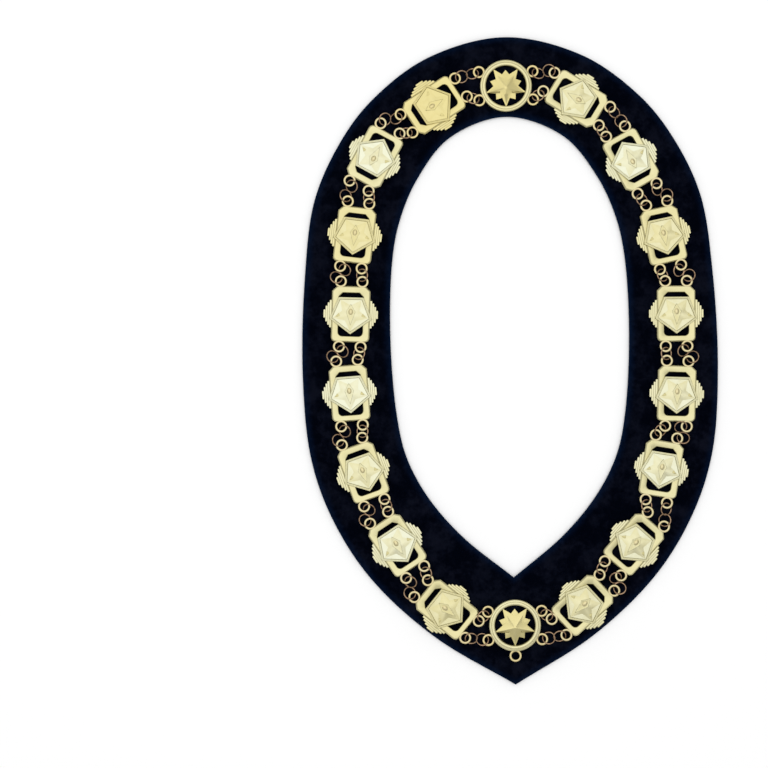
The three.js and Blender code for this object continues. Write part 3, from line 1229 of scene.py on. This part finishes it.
@dataclass(frozen=True)
class Medallion:
    """A double-moulded band round two crossed stars.

    The tables of steps hold rows of height, inset and tone for steps_at; a low tone paints shade at
    feet and in the groove, and a high one paints a highlight with worn gilding.
    """

    outer: float = 36.5
    band: float = 4.2
    band_steps: Rows = (
        (-1.1, 0, 0.5), (-0.6, 0.12, 0.8), (-0.3, 0.4, 0.95), (-0.15, 0.8, 1.0),
        (-0.12, 1.4, 1.0), (-0.26, 1.6, 0.6), (-0.26, 1.7, 0.6), (-0.1, 1.9, 0.9),
        (-0.02, 2.3, 1.0), (0, 3.0, 1.0), (-0.1, 3.5, 0.95), (-0.4, 3.9, 0.75), (-0.8, 4.1, 0.5),
        (-1.3, 4.2, 0.35),
    )
    eye_reach: float = 21.3
    eye_spacing: float = 19.86
    crown: float = 0.5
    star_bite: float = 0.6
    star_rim: float = 1.7
    star_crest: float = 3.4
    star_waist: float = 0.56
    star_peak: float = -1.6
    leaf: Rows = ((0, -14.4), (2.6, -6.2), (0, -1.4), (-2.6, -6.2))
    leaf_crest: float = 3.05
    # Painted shadow: a dark triangle below a side arm of the front star, cast with its mirror image.
    flank: Rows = ((4.4, -5.0), (12.6, -4.6), (3.6, -3.2))
    flank_steps: Rows = ((-0.7, 0, 0.2), (0.35, 0, 0.2), (0.75, 0.5, 0.25))
    back_reach: float = 11.5
    back_rim: float = 0.8
    back_crest: float = 2.6
    back_waist: float = 0.8
    metal: Metalwork = Metalwork()

    @property
    def eye_offset(self) -> Array:
        """The outer upper eye's middle from the medallion's."""
        y = self.eye_spacing / 2
        return np.array([math.sqrt(self.eye_reach ** 2 - y ** 2), y])

    def band_form(self) -> Shell:
        """The band: two rolls with a groove between them.

        Returns:
            The band as a shell.
        """
        # Painted shade at the band's foot and underside, and a painted highlight with worn gilding
        # on its two rolls.
        rows = np.array([
            Step(0, 0.2, 0.2), Step(0.2, 0, 0.3),
            *steps_at(self.metal.plate + self.crown, self.band_steps),
            Step(0.2, self.band, 0.1), Step(0, self.band - 0.2, 0.1),
        ])
        section = np.column_stack([self.outer / 2 - rows[:, 1], rows[:, 0]])
        return turned(section, rows[:, 2], 96).paler(0.4)

    def shell(self, has_jewel_loop: bool, lift: float) -> Shell:
        """The whole casting at the origin.

        Args:
            has_jewel_loop: Whether it has the eye for a jewel at -Y.
            lift: Height of the eyes' middles.

        Returns:
            The casting.
        """
        reach = self.outer / 2 - self.band + self.star_bite
        front = star_outline(reach * on_circle(full_turn(5) - math.pi / 2), self.star_waist)
        back = star_outline(self.back_reach * on_circle(full_turn(5) + math.pi / 2), self.back_waist)
        x, y = self.eye_offset
        eyes = [self.metal.eye(x * a, y * b, lift) for a in (-1, 1) for b in (-1, 1)]
        if has_jewel_loop:
            eyes.append(self.metal.eye(0, -self.eye_reach, lift))
        # The flank triangles are dark marks of painted shadow below the front star's side arms.
        return Shell.joined([
            self.band_form(), *cast_pair(self.flank, steps_at(self.star_rim, self.flank_steps)),
            peaked(front, 0, self.star_rim, self.star_crest, hollow=1.1, peak=self.star_peak),
            peaked(back, 0, self.back_rim, self.back_crest),
            peaked(self.leaf, 1.0, 1.5, self.leaf_crest, hollow=0.9, peak=self.leaf[1][1]),
            *eyes,
        ])


@dataclass(frozen=True)
class Chain:
    """The castings and rings in their places down both sides."""

    plaque: Plaque = Plaque()
    medallion: Medallion = Medallion()
    ring: JumpRing = JumpRing()
    metal: Metalwork = Metalwork()
    top: float = 193.5
    bottom: float = -186.2
    outer_rings: int = 2
    inner_rings: int = 1
    # In each place, warmth and pale are painted light: they stand in for how the light falls on that
    # plaque.
    right: tuple[Place, ...] = (
        Place(49.6, 183.3, 57.5, True, 0.2, 0.45), Place(87.3, 139.8, 28, True, 0.1, 0.85),
        Place(109.1, 86.6, 11.3, False, 0.4, 0.35), Place(117.1, 31.3, -0.5, False, 0.25, 0.45),
        Place(116.5, -25.0, -2.5, False, 0.15, 0.6), Place(104.8, -77.8, -10, False, 0.1, 0.7),
        Place(84.9, -130.2, -42.2, False, 0.15, 0.55),
        Place(48.0, -172.5, -48.2, False, 0.25, 0.45),
    )
    left: tuple[Place, ...] = (
        Place(51.0, 180.5, 57.5, True, 0.7, 0.1), Place(93.2, 144.9, 29.4, True, 0.1, 0.8),
        Place(108.1, 90.4, 7.7, False, 0.5, 0.25), Place(111.9, 34.7, 2.6, False, 0.2, 0.6),
        Place(113.7, -20.8, -3.5, False, 0.0, 0.9), Place(105.0, -76.5, -19, False, 0.25, 0.55),
        Place(82.0, -128.1, -32.6, False, 0.0, 0.8), Place(48.0, -173.8, -50.3, False, 0.35, 0.3),
    )

    def places(self, side: Side) -> tuple[Place, ...]:
        """The plaques' places down one side, from the neck to the tip."""
        return self.left if side is Side.LEFT else self.right

    def medallions(self) -> list[Piece]:
        """Both medallions, the lower with the loop for a jewel.

        Returns:
            The two pieces.
        """
        # The last column, warmth, is painted light standing in for how the light falls on each
        # medallion.
        rows = (("top", self.top, False, 0.75), ("bottom", self.bottom, True, 0.6))
        pieces = []
        for name, y, has_loop, warmth in rows:
            shell = self.medallion.shell(has_loop, self.ring.lift).moved((0, y, self.metal.seat))
            pieces.append(Piece(f"medallion_{name}", Slot.GILT, shell, warmth))
        return pieces

    def plaques(self, side: Side) -> list[Piece]:
        """The plaques down one side.

        Args:
            side: The side.

        Returns:
            The pieces, from the neck to the tip.
        """
        whole = self.plaque.shell(self.ring.lift)
        pieces = []
        for number, place in enumerate(self.places(side), 1):
            turn = side.value * math.radians(place.lean) + (math.pi if place.slot_lower else 0)
            shell = whole.moved((side.value * place.x, place.y, self.metal.seat), turn)
            # Painted highlight: the plaque's paleness washes its shield out towards white.
            shell.pale = np.where(shell.pale > 0, shell.pale * place.pale, shell.pale)
            pieces.append(Piece(f"plaque_{side.word}_{number}", Slot.GILT, shell, place.warmth))
        return pieces

    def eyes(self, place: Place, end: int) -> Array:
        """The middles of a plaque's outer and inner chain eyes at one end.

        Args:
            place: Where the plaque lies.
            end: 1 for the upper end and -1 for the lower one.

        Returns:
            Both middles as rows, with x outwards.
        """
        x, y = self.plaque.eye_spacing / 2, self.plaque.length / 2 + self.plaque.eye_standoff
        spin = rotation(math.radians(place.lean))
        return np.array([[x, end * y], [-x, end * y]]) @ spin.T + [place.x, place.y]

    def strands(self, side: Side) -> list[Piece]:
        """The rings between each two castings down one side, in an outer and an inner strand.

        Args:
            side: The side.

        Returns:
            The strands as pieces, from the neck to the tip.
        """
        x, y = self.medallion.eye_offset
        places, mirror = self.places(side), [side.value, 1]
        leave = [np.array([[x, self.top + y], [x, self.top - y]])]
        leave += [self.eyes(place, -1) for place in places]
        reach = [self.eyes(place, 1) for place in places]
        reach += [np.array([[x, self.bottom - y], [x, self.bottom + y]])]
        kinds = (("outer", self.outer_rings), ("inner", self.inner_rings))
        pieces = []
        for number, gap in enumerate(zip(leave, reach), 1):
            for (word, count), start, end in zip(kinds, *gap):
                shell = self.ring.strand(start * mirror, end * mirror, count, side.value)
                node = f"links_{word}_{side.word}_{number}"
                pieces.append(Piece(node, Slot.LINK, shell, crease=60.0))
        return pieces

    def pieces(self) -> list[Piece]:
        """Every casting and strand, side by side."""
        sides = [self.plaques(side) + self.strands(side) for side in Side]
        return sum(sides, self.medallions())


# Studio: camera, floor and light.


@dataclass(frozen=True)
class Studio:
    """The camera straight above the collar, a white floor and soft light, in metres."""

    aim: Span = (-0.0893, -0.0148)
    height: float = 1.15
    view_width: float = 0.5412
    plane: float = 0.003
    roll: float = math.radians(-0.97)
    sensor: float = 36.0
    clip: Span = (0.01, 40)
    floor_half: float = 12.0
    floor_drop: float = 0.0004
    surround: float = 0.82
    lamp_place: tuple[float, float, float] = (-0.1, 0.28, 2.0)
    lamp_size: float = 2.3
    lamp_watts: float = 16.0

    def add_camera(self) -> None:
        """Makes the scene's camera, whose view is view_width wide at the plane's height."""
        data = bpy.data.cameras.new("camera")
        data.type = "PERSP"
        data.sensor_width = self.sensor
        data.lens = self.sensor * (self.height - self.plane) / self.view_width
        data.dof.use_dof = False
        data.clip_start, data.clip_end = self.clip
        camera = shown(bpy.data.objects.new("camera", data))
        camera.location = (*self.aim, self.height)
        camera.rotation_euler = (0, 0, self.roll)
        bpy.context.scene.camera = camera

    def add_light(self) -> None:
        """Makes a square soft light that faces the origin."""
        data = bpy.data.lights.new("overhead", "AREA")
        data.shape, data.size, data.energy = "SQUARE", self.lamp_size, self.lamp_watts
        lamp = shown(bpy.data.objects.new("overhead", data))
        lamp.location = self.lamp_place
        x, y, z = self.lamp_place
        lamp.rotation_euler = (math.atan2(math.hypot(x, y), z), 0, math.atan2(x, -y))

    def add_floor(self) -> None:
        """Makes the floor just under the collar."""
        mesh = bpy.data.meshes.new("floor")
        half, z = self.floor_half, -self.floor_drop
        signs = ((-1, -1), (1, -1), (1, 1), (-1, 1))
        mesh.from_pydata([(half * x, half * y, z) for x, y in signs], [], [(0, 1, 2, 3)])
        mesh.materials.append(FloorFinish().material())
        shown(bpy.data.objects.new("floor", mesh))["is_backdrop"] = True

    def add_world(self) -> None:
        """Sets an even white surround."""
        world = bpy.data.worlds.new("surround")
        world.use_nodes = True
        background = world.node_tree.nodes["Background"]
        background.inputs["Color"].default_value = (1, 1, 1, 1)
        background.inputs["Strength"].default_value = self.surround
        bpy.context.scene.world = world

    def set_up(self) -> None:
        """Makes camera, floor and lights."""
        self.add_camera()
        self.add_floor()
        self.add_world()
        self.add_light()
        bpy.context.scene.view_settings.view_transform = "Standard"


def corners() -> list[list[float]]:
    """The lowest and highest corner of the shown object, as plain lists."""
    return [[float(value) for value in corner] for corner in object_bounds()]


def main() -> None:
    """Dresses the collar and the chain and sets up the studio."""
    logging.basicConfig(level=logging.INFO, format="%(message)s")
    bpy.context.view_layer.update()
    looks = ((Slot.VELVET, VelvetFinish()), (Slot.GILT, GiltFinish()), (Slot.LINK, LinkFinish()))
    finishes = {slot: look.material() for slot, look in looks}
    collar = VelvetCollar()
    velvet = Piece("velvet_backing", Slot.VELVET, collar.shell(), crease=80.0)
    cloth = velvet.dressed(finishes[velvet.slot])
    chain = [piece.dressed(finishes[piece.slot]) for piece in Chain().pieces()]
    for thing in (cloth, *chain):
        LOG.info("%s: %d faces", thing.name, len(thing.data.polygons))
    Studio().set_up()


if __name__ == "__main__":
    main()
